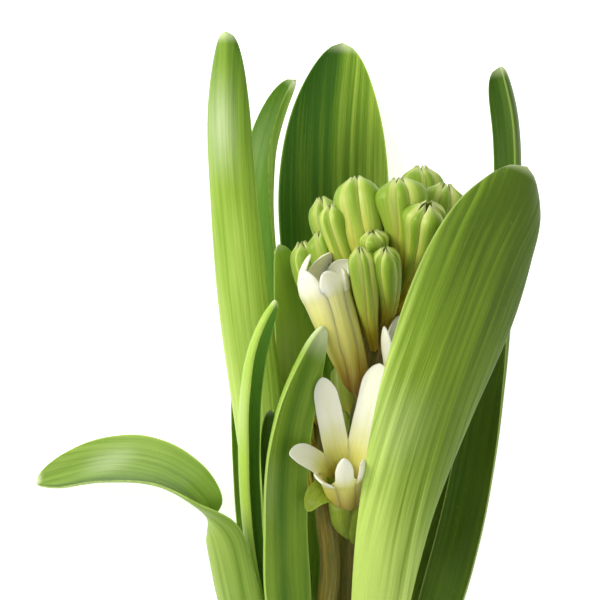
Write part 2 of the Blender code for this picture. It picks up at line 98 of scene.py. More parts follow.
def lineObject(name, points, floats, facing):
    # a chain of points, in frame metres, that carries the numbers a node tree reads
    mesh = bpy.data.meshes.new(name)
    mesh.from_pydata([tuple(p) for p in toFrame(points)], [(i, i + 1) for i in range(len(points) - 1)], [])
    for key, values in floats.items():
        mesh.attributes.new(key, "FLOAT", "POINT").data.foreach_set("value", np.asarray(values, np.float32))
    flat = np.asarray(facing, np.float32).ravel()
    mesh.attributes.new("facing", "FLOAT_VECTOR", "POINT").data.foreach_set("vector", flat)
    return linked(name, mesh)


# Node trees are written as sums of terms: a term stands for a socket, and each step adds one node to its graph.
class Term:
    def __init__(self, graph, socket):
        self.graph, self.socket = graph, socket
        self.isVector = socket.type == "VECTOR"

    def __add__(self, other):
        return self.graph.math("ADD", self, other)

    def __radd__(self, other):
        return self.graph.math("ADD", other, self)

    def __sub__(self, other):
        return self.graph.math("SUBTRACT", self, other)

    def __rsub__(self, other):
        return self.graph.math("SUBTRACT", other, self)

    def __mul__(self, other):
        return self.graph.scaled(self, other) if self.isVector else self.graph.math("MULTIPLY", self, other)

    def __rmul__(self, other):
        return self.graph.math("MULTIPLY", other, self)

    def __truediv__(self, other):
        return self.graph.math("DIVIDE", self, other)

    def __pow__(self, other):
        return self.graph.math("POWER", self, other)

    def __abs__(self):
        return self.graph.math("ABSOLUTE", self)

    def sin(self):
        return self.graph.math("SINE", self)

    def cos(self):
        return self.graph.math("COSINE", self)


class Graph:
    def __init__(self, tree):
        self.tree = tree

    def node(self, kind, values=None, **settings):
        made = self.tree.nodes.new(kind)
        for key, value in settings.items():
            setattr(made, key, value)
        for key, value in (values or {}).items():
            sockets = [s for s in made.inputs if s.enabled and s.name == key] if isinstance(key, str) else None
            self.give(sockets[0] if sockets else made.inputs[key], value)
        return made

    def give(self, socket, value):
        if isinstance(value, Term):
            self.tree.links.new(value.socket, socket)
        elif value is not None:
            socket.default_value = value

    def out(self, made, name=None):
        live = [s for s in made.outputs if s.enabled]
        return Term(self, live[0] if name is None else next(s for s in live if s.name == name))

    def filled(self, made, values):
        for socket, value in zip(made.inputs, values):
            self.give(socket, value)
        return self.out(made)

    def math(self, operation, *values, clamp=False):
        if any(isinstance(v, Term) and v.isVector for v in values):
            return self.filled(self.node("ShaderNodeVectorMath", operation=operation), values)
        return self.filled(self.node("ShaderNodeMath", operation=operation, use_clamp=clamp), values)

    def scaled(self, vector, factor):
        made = self.node("ShaderNodeVectorMath", {"Scale": factor}, operation="SCALE")
        return self.filled(made, [vector])

    def combine(self, *parts):
        return self.filled(self.node("ShaderNodeCombineXYZ"), parts)

    def remap(self, value, low, high, toLow=0.0, toHigh=1.0, shape="SMOOTHSTEP"):
        return self.filled(self.node("ShaderNodeMapRange", interpolation_type=shape), (value, low, high, toLow, toHigh))

    def noise(self, vector, scale, detail, roughness=0.55):
        values = {"Vector": vector, "Scale": scale, "Detail": detail, "Roughness": roughness}
        return self.out(self.node("ShaderNodeTexNoise", values))


def newGeometryTree(name, inputs):
    tree = bpy.data.node_groups.new(name, "GeometryNodeTree")
    tree.interface.new_socket("Geometry", in_out="INPUT", socket_type="NodeSocketGeometry")
    for label, value in {**inputs, "Seed": 0.0, "Finish": None}.items():
        kind = {int: "Int", float: "Float", type(None): "Material"}[type(value)]
        socket = tree.interface.new_socket(label, in_out="INPUT", socket_type="NodeSocket" + kind)
        if value is not None:
            socket.default_value = value
    tree.interface.new_socket("Geometry", in_out="OUTPUT", socket_type="NodeSocketGeometry")
    graph = Graph(tree)
    entry = tree.nodes.new("NodeGroupInput")
    given = {socket.name: Term(graph, socket) for socket in entry.outputs if socket.name}
    curve = graph.out(graph.node("GeometryNodeMeshToCurve", {"Mesh": given["Geometry"]}))
    return graph, given, curve


def closeTree(graph, given, geometry):
    real = graph.out(graph.node("GeometryNodeRealizeInstances", {"Geometry": geometry}))
    painted = graph.node("GeometryNodeSetMaterial", {"Geometry": real, "Material": given["Finish"]})
    graph.node("NodeGroupOutput", {"Geometry": graph.out(painted)})
    return graph.tree


def flatGrid(graph, columns, rows):
    # a unit grid, and how far each of its points is across it and up it, from -0.5 to 0.5
    sizes = {"Size X": 1.0, "Size Y": 1.0, "Vertices X": columns, "Vertices Y": rows}
    grid = graph.out(graph.node("GeometryNodeMeshGrid", sizes))
    place = graph.out(graph.node("GeometryNodeInputPosition"))
    split = graph.node("ShaderNodeSeparateXYZ", {0: place})
    return grid, graph.out(split, "X"), graph.out(split, "Y")


def sampledOn(graph, curve, factor, attribute, kind="FLOAT"):
    named = graph.out(graph.node("GeometryNodeInputNamedAttribute", {"Name": attribute}, data_type=kind))
    values = {"Curves": curve, "Value": named, "Factor": factor}
    return graph.node("GeometryNodeSampleCurve", values, mode="FACTOR", data_type=kind)


def storedOn(graph, geometry, values):
    for key, value in values.items():
        told = {"Geometry": geometry, "Name": key, "Value": value}
        geometry = graph.out(graph.node("GeometryNodeStoreNamedAttribute", told, data_type="FLOAT", domain="POINT"))
    return geometry


def frameAt(graph, curve, along):
    # a point on the path, and the two directions square to it, the first as near the stored one as can be
    sampled = sampledOn(graph, curve, along, "facing", "FLOAT_VECTOR")
    wanted, tangent, spinePoint = (graph.out(sampled, key) for key in ("Value", "Tangent", "Position"))
    first = graph.math("NORMALIZE", wanted - tangent * graph.math("DOT_PRODUCT", wanted, tangent))
    return spinePoint, first, graph.math("CROSS_PRODUCT", tangent, first)


def laidOn(graph, geometry, point):
    return graph.out(graph.node("GeometryNodeSetPosition", {"Geometry": geometry, "Position": point}))


def grown(name, line, tree, values):
    # runs a node tree on a chain of points, and keeps what comes out as a plain closed mesh
    modifier = line.modifiers.new(tree.name, "NODES")
    modifier.node_group = tree
    for item in tree.interface.items_tree:
        if item.in_out == "INPUT" and item.name in values:
            modifier[item.identifier] = values[item.name]
    bpy.context.view_layer.update()
    graph = bpy.context.evaluated_depsgraph_get()
    mesh = bpy.data.meshes.new_from_object(line.evaluated_get(graph), preserve_all_data_layers=True, depsgraph=graph)
    bpy.data.objects.remove(line)
    mesh.name = name
    mesh.materials.clear()
    mesh.materials.append(values["Finish"])
    for face in mesh.polygons:
        face.material_index = 0
    work = bmesh.new()
    work.from_mesh(mesh)
    bmesh.ops.remove_doubles(work, verts=work.verts, dist=2e-6)
    bmesh.ops.recalc_face_normals(work, faces=work.faces)
    if work.calc_volume(signed=True) < 0:
        bmesh.ops.reverse_faces(work, faces=work.faces)
    work.to_mesh(mesh)
    work.free()
    return smoothed(name, mesh, 50)


def smoothed(name, mesh, sharpAngle):
    mesh.shade_smooth()
    mesh.set_sharp_from_angle(angle=math.radians(sharpAngle))
    return linked(name, mesh)


# Leaves

neckZ = 7.0
shootA = (4.5, neckZ)
shootB = (-5.2, neckZ)
neckStraight = 11.0

leafSizes = {
    "rows": 150,
    "columns": 64,
    "stations": 220,
    "thickness": 1.3,
    "baseRise": 0.03,  # how much the nested bases climb for each millimetre along
    "blunt": 0.52,  # how the width closes at the tip; a smaller figure is blunter
    "ribs": 15.0,  # pairs of ribs from one margin to the other
    "ribHeight": 0.045,
    "waviness": 0.35,
}

# Base: shoot, ring radius, azimuth there, width. Stations: x, y, z, width, curl, and where the inner face looks.
leafShapes = {
    "leaf_back_broad": {
        "base": (shootA, 4.3, 258, 6.2), "tipLength": 40,
        "stations": [
            (3.4, 30, 3.4, 9.5, 38, 0.1, 0, 1), (2.4, 50, 3.0, 13, 33, 0, 0, 1),
            (1.4, 78, 2.4, 18, 30, 0, 0, 1), (0.2, 100, 2.0, 22, 28, 0, 0, 1),
            (-1.6, 123, 1.8, 25, 27, 0, 0, 1), (-2.3, 142, 1.8, 26.5, 28, 0, 0, 1),
            (-1.8, 160, 2.2, 26, 32, 0, 0, 1), (-0.3, 177.5, 4.6, 24, 44, 0, -0.3, 1),
        ],
    },
    "leaf_tall_left": {
        "blunt": 0.45,
        "base": (shootB, 3.9, 226, 5.4), "tipLength": 26,
        "stations": [
            (-12.8, 30, 10.2, 8.5, 42, 0.95, 0, 0.1), (-16.0, 52, 19.5, 11, 40, 0.9, 0, -0.35),
            (-18.6, 74, 24.0, 13, 38, 0.7, 0, -0.7), (-20.6, 97, 26.5, 14, 38, 0.5, 0, -0.85),
            (-23.3, 119, 27.5, 13.5, 38, 0.42, 0, -0.9), (-25.4, 141, 27.5, 12, 40, 0.4, 0, -0.9),
            (-26.5, 160.5, 28.0, 11.5, 46, 0.4, 0, -0.9), (-26.3, 178, 29.5, 10, 56, 0.4, 0, -0.9),
        ],
    },
    "leaf_folded_left": {
        "blunt": 0.45,
        "base": (shootB, 5.6, 235, 7.2), "tipLength": 22,
        "stations": [
            (-13.5, 30, 5.2, 9, 36, 0.6, 0, 0.8), (-17.8, 52, 9.0, 11, 38, 0.35, 0, 0.9),
            (-19.4, 85, 11.0, 13, 42, 0, 0, 1), (-19.0, 119, 11.0, 12.5, 52, -0.35, 0, 0.9),
            (-18.4, 145, 12.5, 11.5, 62, -0.7, 0, 0.7), (-16.8, 155, 14.5, 10.5, 68, -0.85, 0.1, 0.6),
            (-14.2, 162.5, 17.0, 10, 72, -0.85, 0.2, 0.55), (-11.4, 168, 19.5, 9.5, 76, -0.85, 0.3, 0.5),
        ],
    },
    "leaf_inner_left": {
        "base": (shootA, 4.3, 165, 6.2), "tipLength": 20,
        "stations": [
            (-2.4, 30, 9.0, 7, 34, 0.6, 0, 0.8), (-7.4, 51, 14.5, 9.5, 30, 0.4, 0, 0.9),
            (-9.3, 74, 16.5, 10.5, 28, 0.35, 0, 0.92), (-10.6, 96, 17.5, 11.5, 28, 0.35, 0, 0.92),
            (-11.2, 112, 18.5, 11, 30, 0.4, 0, 0.9), (-12.6, 123, 19.8, 10, 34, 0.4, 0, 0.9),
            (-14.6, 131, 21.8, 9, 44, 0.4, -0.1, 0.9),
        ],
    },
    "leaf_right_back": {
        "blunt": 0.45,
        "base": (shootA, 6.0, 22, 6.4), "tipLength": 12,
        "stations": [
            (15.4, 30, 13.0, 9, 34, -0.9, 0, 0.25), (22.0, 50, 16.5, 12, 30, -0.65, 0, 0.76),
            (26.4, 66, 17.0, 12, 30, -0.6, 0, 0.8), (29.8, 82, 17.0, 11.5, 34, -0.6, 0, 0.8),
            (33.2, 102, 17.0, 11, 42, -0.7, 0, 0.7), (36.4, 126, 17.0, 10.5, 52, -0.85, 0, 0.5),
            (37.8, 147, 17.0, 10.5, 54, -0.9, 0, 0.45), (37.0, 160, 17.5, 10, 54, -0.88, 0, 0.47),
            (34.8, 171, 18.5, 10, 54, -0.88, -0.2, 0.47),
        ],
    },
    "leaf_right_front": {
        "blunt": 0.42,
        "base": (shootA, 4.3, 76, 6.2), "tipLength": 40,
        "stations": [
            (6.0, 30, 22.0, 9.5, 38, -0.2, 0, -1), (8.2, 52, 35.0, 14.3, 34, -0.25, 0, -1),
            (12.0, 75, 45.5, 18.5, 32, -0.28, 0, -1), (18.2, 97, 51.5, 23.5, 30, -0.3, 0.1, -1),
            (25.0, 116, 54.0, 26, 28, -0.3, 0.1, -1), (31.0, 131, 53.5, 25.5, 28, -0.3, 0.1, -1),
            (35.5, 140, 52.0, 24, 30, -0.3, 0.1, -1), (38.4, 147.2, 49.5, 21, 38, -0.3, 0.2, -1),
        ],
    },
    "leaf_bent_left": {
        "base": (shootB, 5.6, 146, 7.2), "tipLength": 30,
        "stations": [
            (-17.2, 30, 22.0, 8.5, 30, 0.7, 0, -0.7), (-24.0, 53.5, 34.5, 12, 26, 0.5, 0, -0.85),
            (-25.7, 62, 38.0, 11, 26, 0.45, 0.25, -0.8), (-27.2, 68, 40.0, 10.5, 26, 0.35, 0.7, -0.5),
            (-29.8, 73, 40.0, 11, 26, 0.25, 0.95, 0), (-34.0, 77.5, 36.5, 13, 26, 0.2, 0.85, 0.45),
            (-39.5, 80.5, 30.5, 14.5, 26, 0.1, 0.7, 0.7), (-47.5, 82.0, 21.5, 15.5, 28, 0, 0.6, 0.8),
            (-55.5, 81.2, 12.4, 15.5, 32, 0, 0.6, 0.8), (-63.6, 79.0, 5.2, 14.5, 38, 0, 0.6, 0.8),
            (-70.6, 77.0, 1.2, 12, 46, 0, 0.6, 0.8),
        ],
    },
    "leaf_small_left": {
        "base": (shootB, 3.9, 137, 5.2), "tipLength": 24,
        "stations": [
            (-13.6, 30, 20.2, 6.6, 45, 0.9, 0, -0.2), (-18.6, 52, 29.0, 8, 50, 0.97, 0, 0.1),
            (-21.2, 70, 33.0, 8.8, 54, 0.95, 0, 0.25), (-22.0, 88, 36.0, 9, 58, 0.92, 0, 0.3),
            (-21.6, 99, 37.5, 9, 62, 0.9, 0, 0.35), (-20.0, 108, 38.8, 8.5, 66, 0.9, -0.1, 0.4),
            (-17.4, 114.5, 39.8, 8, 70, 0.85, -0.2, 0.4), (-15.0, 118.5, 40.5, 7, 74, 0.85, -0.3, 0.4),
        ],
    },
    "leaf_front_channel": {
        "base": (shootB, 2.3, 80, 4.6), "tipLength": 24,
        "stations": [
            (-9.2, 30, 22.8, 8, 44, 0.8, 0, 0.2), (-13.4, 52, 32.5, 13, 38, 0.6, 0, 0.8),
            (-14.2, 70, 38.5, 12.5, 40, 0.6, 0, 0.8), (-13.6, 86, 42.0, 12, 46, 0.6, 0, 0.8),
            (-11.8, 96, 43.5, 11.5, 52, 0.65, 0, 0.75), (-9.0, 104.5, 44.0, 11, 60, 0.7, -0.1, 0.7),
            (-6.6, 109.8, 43.8, 10.5, 66, 0.7, -0.2, 0.7), (-4.6, 113, 43.2, 10, 70, 0.7, -0.3, 0.7),
        ],
    },
    "leaf_young_left": {
        "base": (shootB, 2.3, 214, 3.0), "tipLength": 12,
        "stations": [
            (-8.3, 20, 10.4, 3.2, 34, 0.75, 0, 0.65), (-10.2, 30, 17.8, 4, 30, 0.1, 0, 1),
            (-12.8, 52, 27.0, 5.4, 28, 0, 0, 1), (-15.0, 70, 31.4, 5.6, 28, 0, 0, 1),
            (-15.9, 84, 33.4, 5.6, 32, 0, 0, 1), (-16.6, 94.5, 34.4, 5, 40, 0, 0, 1),
        ],
    },
    "leaf_right_low": {
        "base": (shootA, 4.3, 347, 6.2), "tipLength": 22,
        "stations": [
            (9.8, 30, 7.2, 8.5, 36, -0.6, 0, 0.8), (11.8, 50, 8.6, 11.5, 28, -0.3, 0, 0.95),
            (16.4, 60, 9.2, 13, 26, -0.25, 0, 0.97), (22.0, 69, 9.6, 13.5, 26, -0.2, 0, 1),
            (26.6, 79.5, 9.6, 13.5, 26, -0.2, 0, 1), (29.4, 91, 10.0, 12.5, 28, -0.2, 0, 1),
            (31.0, 101, 10.6, 11.5, 32, -0.2, 0, 1), (31.6, 109, 11.6, 10, 38, -0.2, 0, 1),
        ],
    },
    "leaf_right_under": {
        "base": (shootA, 6.0, 301, 7.2), "tipLength": 24,
        "stations": [
            (11.8, 30, 2.2, 8.5, 34, -0.3, 0, 1), (14.6, 50, 2.0, 9, 28, -0.1, 0, 1),
            (18.6, 68, 1.8, 10, 26, 0, 0, 1), (23.6, 86, 1.7, 11, 26, 0, 0, 1),
            (27.6, 103, 1.7, 11, 28, 0, 0, 1), (29.6, 120, 2.2, 10, 36, 0, 0, 1),
        ],
    },
}


def leafRows(leaf):
    if "base" not in leaf:
        return leaf["stations"]
    (x, z), ring, azimuth, width = leaf["base"]
    out = (math.cos(math.radians(azimuth)), math.sin(math.radians(azimuth)))
    curl = math.degrees(width / 2 / ring)
    rows = []
    for y in (0, neckStraight):
        height = z + ring * out[1] + y * leafSizes["baseRise"]
        rows.append((x + ring * out[0], y, height, width, curl, -out[0], 0, -out[1]))
    return rows + leaf["stations"]


def leafSpine(name, leaf):
    rows = smoothRows(leafRows(leaf), leafSizes["stations"])
    length = lengthAlong(rows[:, :3])
    toTip = np.clip((length[-1] - length) / leaf["tipLength"], 0, 1)
    closing = np.sin(math.pi / 2 * toTip ** leaf.get("blunt", leafSizes["blunt"]))
    if "base" not in leaf:
        closing *= 0.3 + 0.7 * np.sin(math.pi / 2 * np.clip(length / leaf["tipLength"], 0, 1))
    floats = {
        "halfWidth": rows[:, 3] / 2 * closing * mm,
        "curl": np.radians(rows[:, 4]),
        "thick": leafSizes["thickness"] * (0.5 + 0.5 * closing) * leaf.get("thin", 1.0) * mm,
        "tint": length / length[-1],
    }
    return lineObject(name, rows[:, :3], floats, rows[:, 5:8])


def bladeLayer(graph, given, curve, layer):
    # one skin of the blade: a flat grid laid on the curved cross-section that follows the spine
    isCut = layer == "cut"
    grid, x, y = flatGrid(graph, given["Columns"], 4 if isCut else given["Rows"])
    across, upGrid = x * 2.0, y + 0.5
    along = 0.0 if isCut else 1.0 - (1.0 - upGrid) ** 1.35
    depthShare = {"inner": 0.0, "outer": 1.0}.get(layer, upGrid)
    keys = ("halfWidth", "curl", "thick", "tint")
    halfWidth, curl, thick, tint = (graph.out(sampledOn(graph, curve, along, key), "Value") for key in keys)
    spinePoint, inward, side = frameAt(graph, curve, along)
    angle = across * curl
    radius = halfWidth / curl
    outward = side * angle.sin() - inward * angle.cos()
    body = (1.0 - across * across) ** 0.42
    # fine ribs on both skins, uneven from rib to rib, and none at the margins
    uneven = graph.noise(graph.combine(across * 7.0, along * 2.5, given["Seed"]), 1.0, 2.0, 0.5)
    ribWave = (across * (given["Ribs"] * (2 * math.pi))).cos()
    fade = graph.remap(halfWidth, 0.8 * mm, 4 * mm)
    ribs = ribWave * uneven * (given["Rib Height"] * body) * fade
    wall = thick * body * depthShare
    # the blade isn't quite true: long slow waves, stronger towards the margins
    sway = graph.noise(graph.combine(across * 0.55, along * 5.0, given["Seed"]), 1.0, 1.5, 0.5)
    swayBy = (sway - 0.5) * (given["Waviness"] * 2.0) * (fade * graph.remap(along, 0.1, 0.3))
    point = spinePoint + inward * (radius + swayBy) + outward * (radius + (wall + ribs))
    # what the materials read, stored before the grid loses its flat coordinates
    isInner = 0.0 if layer == "outer" else 1.0
    read = {"bladeAcross": across, "bladeHalf": halfWidth, "bladeTint": tint, "bladeInner": isInner}
    return laidOn(graph, storedOn(graph, grid, read), point)


def buildLeafTree():
    sizes = {"Rows": leafSizes["rows"], "Columns": leafSizes["columns"], "Ribs": leafSizes["ribs"]}
    sizes.update({"Rib Height": leafSizes["ribHeight"] * mm, "Waviness": leafSizes["waviness"] * mm})
    graph, given, curve = newGeometryTree("strapLeaf", sizes)
    joined = graph.node("GeometryNodeJoinGeometry")
    for layer in ("inner", "outer", "cut"):
        graph.give(joined.inputs[0], bladeLayer(graph, given, curve, layer))
    return closeTree(graph, given, graph.out(joined))


# Finishes


def newFinish(name):
    material = bpy.data.materials.new(name)
    material.use_nodes = True
    return material, Graph(material.node_tree), material.node_tree.nodes["Principled BSDF"]


def readFloats(graph, *names):
    return [graph.out(graph.node("ShaderNodeAttribute", attribute_name=name), "Fac") for name in names]


def coated(graph, colour, *coats):
    # one colour over another, each by its own share
    for share, coat in coats:
        made = graph.node("ShaderNodeMix", data_type="RGBA")
        graph.give(made.inputs[0], share)
        for socket, value in ((made.inputs[6], colour), (made.inputs[7], coat)):
            graph.give(socket, (*value, 1) if isinstance(value, tuple) else value)
        colour = Term(graph, made.outputs[2])
    return colour


def dressed(graph, shader, looks, height, distance, strength):
    for key, value in looks.items():
        graph.give(shader.inputs[key], value)
    bump = graph.node("ShaderNodeBump", {"Strength": strength, "Distance": distance, "Height": height})
    graph.give(shader.inputs["Normal"], graph.out(bump))


def tone(red, green, blue):
    # a colour given as it looks on a screen
    return tuple((((v / 255 + 0.055) / 1.055) ** 2.4) for v in (red, green, blue))


# Greens: light, middle and dark, set leaf by leaf, so that they carry painted light and shade as well as each leaf's
# own green. Lean and start: how the painted light and shade fall off across and along the blade. Veins: how far they
# show. Sheen patch: where a whitish painted highlight lies (along, across, strength). Outside and tip: how much paler.
# Valley shade: how deep the painted shade down the middle of the channel is.
leafFinishes = {
    "leaf_tall_left": {
        "greens": [(192, 214, 112), (132, 164, 52), (72, 112, 26)],
        "lean": (0.12, -1.05), "start": 1.30, "veins": 0.26, "sheenPatch": (0.885, 0.15, 0.42),
        "outside": 0.0, "tip": 0.7, "seed": 1.0,
    },
    "leaf_right_front": {
        "greens": [(186, 212, 104), (116, 146, 38), (74, 100, 22)],
        "lean": (0.26, -1.65), "start": 1.54, "veins": 0.50, "sheenPatch": (0.62, 0.45, 0.12),
        "outside": 0.0, "tip": 0.5, "seed": 2.7,
    },
    "leaf_bent_left": {
        "greens": [(142, 168, 74), (106, 138, 44), (74, 106, 28)],
        "lean": (0.20, 0.60), "start": 0.04, "veins": 0.55, "sheenPatch": (0.84, 0.1, 0.26),
        "outside": 0.48, "rim": 0.6, "tip": 0.8, "seed": 3.1,
    },
    "leaf_small_left": {
        "greens": [(162, 192, 76), (126, 172, 56), (94, 148, 46)],
        "lean": (-0.25, -0.55), "start": 0.75, "veins": 0.22, "sheenPatch": (0.8, -0.6, 0.2),
        "outside": 0.55, "tip": 0.7, "valleyShade": 0.2, "seed": 4.9,
    },
    "leaf_front_channel": {
        "greens": [(140, 170, 62), (112, 146, 40), (64, 106, 28)],
        "lean": (-0.16, 0.30), "start": 0.46, "veins": 0.30, "sheenPatch": (0.7, -0.7, 0.15),
        "outside": 0.05, "tip": 1.0, "hood": 0.93, "valleyShade": 0.55, "seed": 5.3,
    },
    "leaf_inner_left": {
        "greens": [(186, 214, 88), (144, 186, 54), (92, 156, 42)],
        "lean": (-0.35, 0.1), "start": 0.62, "veins": 0.18, "sheenPatch": (0.82, -0.4, 0.25),
        "outside": 0.3, "tip": 0.6, "seed": 6.2,
    },
    "leaf_back_broad": {
        "greens": [(158, 184, 70), (102, 138, 34), (58, 104, 24)],
        "lean": (0.50, -0.90), "start": 1.14, "veins": 0.75, "sheenPatch": (0.66, 0.9, 0.22),
        "outside": 0.4, "tip": 0.8, "seed": 7.4,
    },
    "leaf_folded_left": {
        "greens": [(176, 200, 104), (108, 150, 42), (68, 116, 30)],
        "lean": (-0.30, -0.30), "start": 0.55, "veins": 0.18, "sheenPatch": (0.9, -0.6, 0.15),
        "outside": 0.6, "tip": 0.8, "seed": 8.8,
    },
    "leaf_young_left": {
        "greens": [(130, 162, 56), (86, 124, 34), (56, 92, 22)],
        "lean": (0.0, -0.2), "start": 0.4, "veins": 0.3, "sheenPatch": (0.8, 0.0, 0.1),
        "outside": 0.2, "tip": 0.4, "seed": 9.5,
    },
    "leaf_right_back": {
        "greens": [(122, 144, 42), (84, 112, 26), (52, 86, 18)],
        "lean": (0.20, -0.30), "start": 0.45, "veins": 0.42, "sheenPatch": (0.95, 0.4, 0.05),
        "outside": -0.1, "tip": 0.5, "seed": 10.1,
    },
    "leaf_right_low": {
        "greens": [(126, 156, 44), (88, 118, 28), (56, 88, 18)],
        "lean": (0.1, 0.0), "start": 0.45, "veins": 0.3, "sheenPatch": (0.8, 0.4, 0.1),
        "outside": 0.3, "tip": 0.4, "seed": 11.6,
    },
    "leaf_right_under": {
        "greens": [(120, 146, 42), (78, 106, 24), (50, 78, 16)],
        "lean": (0.1, 0.0), "start": 0.45, "veins": 0.3, "sheenPatch": (0.8, 0.4, 0.1),
        "outside": 0.3, "tip": 0.4, "seed": 12.3,
    },
}


def leafFinish(name, look):
    material, graph, shader = newFinish(name)
    across, along, half, inside = readFloats(graph, "bladeAcross", "bladeTint", "bladeHalf", "bladeInner")
    seed = look["seed"]
    acrossMm = across * (half * 1000.0)
    # veins run the length of the blade: close ones, finer ones between them, and slow patches
    veins = graph.noise(graph.combine(acrossMm * 0.95, along * 1.6, seed), 1.0, 1.5, 0.4)
    fine = graph.noise(graph.combine(acrossMm * 3.2, along * 7.0, seed + 3.0), 1.0, 3.0, 0.6)
    patches = graph.noise(graph.combine(across * 1.1, along * 4.5, seed + 7.0), 1.0, 2.0, 0.5)
    # painted light and shade: each blade is lighter or darker across and along it as the light falls on it
    share = across * look["lean"][0] + along * look["lean"][1] + look["start"]
    share = share + (patches - 0.5) * 0.55 + (veins - 0.5) * (look["veins"] * 1.8)
    share = share + (fine - 0.5) * (look["veins"] * 0.9 + 0.12) + (1.0 - inside) * look["outside"]
    # painted shade down the middle of the channel, where the blade folds in
    share = share - graph.remap(abs(across), 0.55, 0.0, 0.0, look.get("valleyShade", 0.0))
    # a margin that folds under and so turns away from the light
    share = share - graph.remap(across, -0.62, -0.86, 0.0, look.get("rim", 0.0)) * inside
    # a whitish painted highlight, a painted sheen, then paler towards the cut and at the hooded tip, and paler along
    # the thin margin, partly the margin's own paler green and partly painted rim light
    sheenAlong, sheenAcross, sheenStrength = look["sheenPatch"]
    sheenMask = graph.remap(abs(along - sheenAlong), 0.085, 0.0) * graph.remap(abs(across - sheenAcross), 0.85, 0.0)
    sheenMask = sheenMask * graph.remap(fine, 0.25, 0.7, 0.5, 1.0)
    place = graph.out(graph.node("ShaderNodeTexCoord"), "Object")
    fleck = graph.remap(graph.noise(place, 1100.0, 2.0), 0.66, 0.80)
    light, middle, dark = (tone(*green) for green in look["greens"])
    colour = coated(
        graph,
        dark,
        (graph.remap(share, 0.0, 0.5, shape="LINEAR"), middle),
        (graph.remap(share, 0.5, 1.0, shape="LINEAR"), light),
        # painted highlight: the whitish sheen patch
        (sheenMask * sheenStrength, tone(226, 234, 206)),
        (graph.remap(along, 0.24, 0.0) * look.get("base", 0.8), tone(216, 226, 168)),
        (graph.remap(along, look.get("hood", 0.984), 1.0) * (look["tip"] * 0.9), tone(220, 230, 182)),
        # paler margin: partly the margin's own paler green, partly painted rim light where light shines through it
        (graph.remap(abs(across), 0.945, 0.995) * 0.42, tone(184, 204, 108)),
        (fleck * 0.10, tone(200, 214, 140)),
    )
    looks = {
        "Base Color": colour,
        "Roughness": fine * 0.16 + 0.34,
        "Subsurface Weight": 0.18,
        "Subsurface Radius": (0.5, 1.0, 0.12),
        "Subsurface Scale": 0.0016,
        "Specular IOR Level": 0.24,
        "Specular Tint": (0.95, 1.0, 0.55, 1),
    }
    grain = graph.noise(place, 1500.0, 2.0)
    dressed(graph, shader, looks, veins * 1.4 + (fine + grain * 0.25), 0.0002, 0.75)
    return material


leafTree = buildLeafTree()
for nodeName, leaf in leafShapes.items():
    look = leafFinishes[nodeName]
    finish = leafFinish(nodeName + "_skin", look)
    values = {"Seed": look["seed"], "Finish": finish}
    piece = grown(nodeName + "_blade", leafSpine(nodeName, leaf), leafTree, values)
    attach(piece, "root")
    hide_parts(nodeName)
print("leaves grown:", len(leafShapes))


# Stalks

# stations: x, y, z, radius
scapeShapes = {
    "scape_main": [
        (4.5, 0, neckZ, 3.7), (4.5, 11, neckZ + 0.4, 3.7), (1.8, 30, 12.8, 3.5), (-0.2, 52, 19.0, 3.3),
        (0.2, 64, 22.2, 3.2), (1.9, 78, 25.4, 3.1), (4.6, 96, 28.2, 2.9), (7.8, 112, 30.0, 2.6),
        (10.4, 124, 31.0, 2.1),
    ],
    "scape_young": [
        (-5.2, 0, neckZ, 1.9), (-5.2, 11, neckZ + 0.4, 1.9), (-5.1, 20, 11.0, 1.9), (-4.9, 31, 17.8, 2.0),
        (-4.4, 48, 26.6, 2.2), (-3.4, 61, 30.0, 2.2), (-4.8, 74, 32.4, 2.0), (-5.6, 86, 33.6, 1.6),
        (-5.8, 98, 34.6, 1.1),
    ],
}
stalkSizes = {
    "rows": 220,
    "columns": 73,
    "stations": 160,
    "ridges": 9.0,
    "ridgeHeight": 0.03,
    "cutRows": 0.04,  # the share of the rows that runs out over the cut face
    "topRows": (0.955, 0.975),  # where the top starts to close, and where the path ends
}


def scapePlace(name, y):
    # where the stalk's middle is at a height y, and how thick it is there
    rows = smoothRows(scapeShapes[name], 200)
    return rows[np.argmin(abs(rows[:, 1] - y))]


def ringPoint(spinePoint, first, second, angle, reach):
    return spinePoint + (first * angle.cos() + second * angle.sin()) * reach


def buildStalkTree():
    # a fleshy stalk: a skin with shallow ridges, and a flat cut or a rounded end
    sizes = {"Rows": stalkSizes["rows"], "Columns": stalkSizes["columns"]}
    sizes.update({"Ridges": stalkSizes["ridges"], "Ridge Height": stalkSizes["ridgeHeight"]})
    graph, given, curve = newGeometryTree("fleshyStalk", sizes)
    grid, x, y = flatGrid(graph, given["Columns"], given["Rows"])
    turn = (x + 0.5) * (2 * math.pi)
    upGrid = y + 0.5
    along = graph.remap(upGrid, stalkSizes["cutRows"], stalkSizes["topRows"][1], shape="LINEAR")
    opened = graph.math("MINIMUM", upGrid / stalkSizes["cutRows"], 1.0)
    toTop = graph.remap(upGrid, stalkSizes["topRows"][0], 1.0, shape="LINEAR")
    closed = graph.math("SQRT", graph.math("SUBTRACT", 1.0, toTop**2.0, clamp=True))
    spinePoint, first, second = frameAt(graph, curve, along)
    radius = graph.out(sampledOn(graph, curve, along, "radius"), "Value")
    uneven = graph.noise(graph.combine(turn.cos(), turn.sin(), along * 6.0 + given["Seed"]), 1.2, 2.0, 0.5)
    ridge = (turn * given["Ridges"]).cos() * given["Ridge Height"]
    swell = 1.0 + ridge + (uneven - 0.5) * 0.12
    point = ringPoint(spinePoint, first, second, turn, radius * swell * (opened * closed))
    stored = storedOn(graph, grid, {"stalkTurn": turn, "stalkAlong": along, "stalkCut": 1.0 - opened})
    return closeTree(graph, given, laidOn(graph, stored, point))


